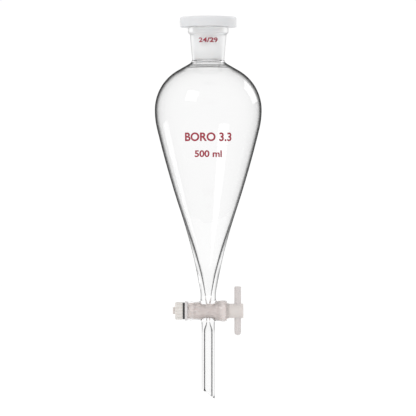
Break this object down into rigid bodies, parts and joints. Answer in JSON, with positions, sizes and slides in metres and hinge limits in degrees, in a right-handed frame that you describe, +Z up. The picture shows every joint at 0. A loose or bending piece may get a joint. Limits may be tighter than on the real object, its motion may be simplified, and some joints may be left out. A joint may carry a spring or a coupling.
{
  "type": "separatory funnel",
  "caption": "Pear-shaped glass separatory funnel with a ground socket, plastic stopper, stopcock with T handle and a slant-cut drain stem.",
  "frame": {"origin": "on the funnel's axis, at the height where a 76 mm support ring carries the flank", "axes": "+Z up along the funnel's axis, +X along the stopcock's axis towards its handle"},
  "size_m": [0.094, 0.094, 0.3357],
  "materials": {
    "ground_glass": "fine ground, frosted",
    "clear_glass": "clear, flame polished",
    "stopper_plastic": "translucent polyethylene",
    "ptfe": "satin PTFE",
    "handle_plastic": "satin, translucent white",
    "nut_plastic": "moulded, satin",
    "black_rubber": "matt nitrile rubber"
  },
  "bodies": {
    "glass": {"neck_socket": "ground_glass", "bulb": "clear_glass", "stopcock_barrel": "clear_glass", "drain_stem": "clear_glass"},
    "stopper": {"stopper": "stopper_plastic"},
    "plug": {"plug": "ptfe", "handle_bar": "handle_plastic"},
    "washers": {"washer": "ptfe", "rubber_ring": "black_rubber"},
    "nut": {"nut": "nut_plastic"}
  },
  "joints": [
    {"name": "stopper_lift", "type": "slide", "parent": "glass", "child": "stopper", "axis": [0, 0, 1], "range_m": [0, 0.045]},
    {"name": "plug_turn", "type": "hinge", "parent": "glass", "child": "plug", "pos_m": [0, 0, -0.1323], "axis": [1, 0, 0], "continuous": true},
    {"name": "washer_slide", "type": "slide", "parent": "plug", "child": "washers", "axis": [-1, 0, 0], "range_m": [0, 0.006]},
    {"name": "nut_turn", "type": "hinge", "parent": "washers", "child": "nut", "pos_m": [-0.0258, 0, -0.1323], "axis": [-1, 0, 0], "range_deg": [0, 1440]}
  ],
  "couplings": [
    {"joint": "nut_turn", "follows": "washer_slide", "rad_per_m": 4188.8}
  ]
}
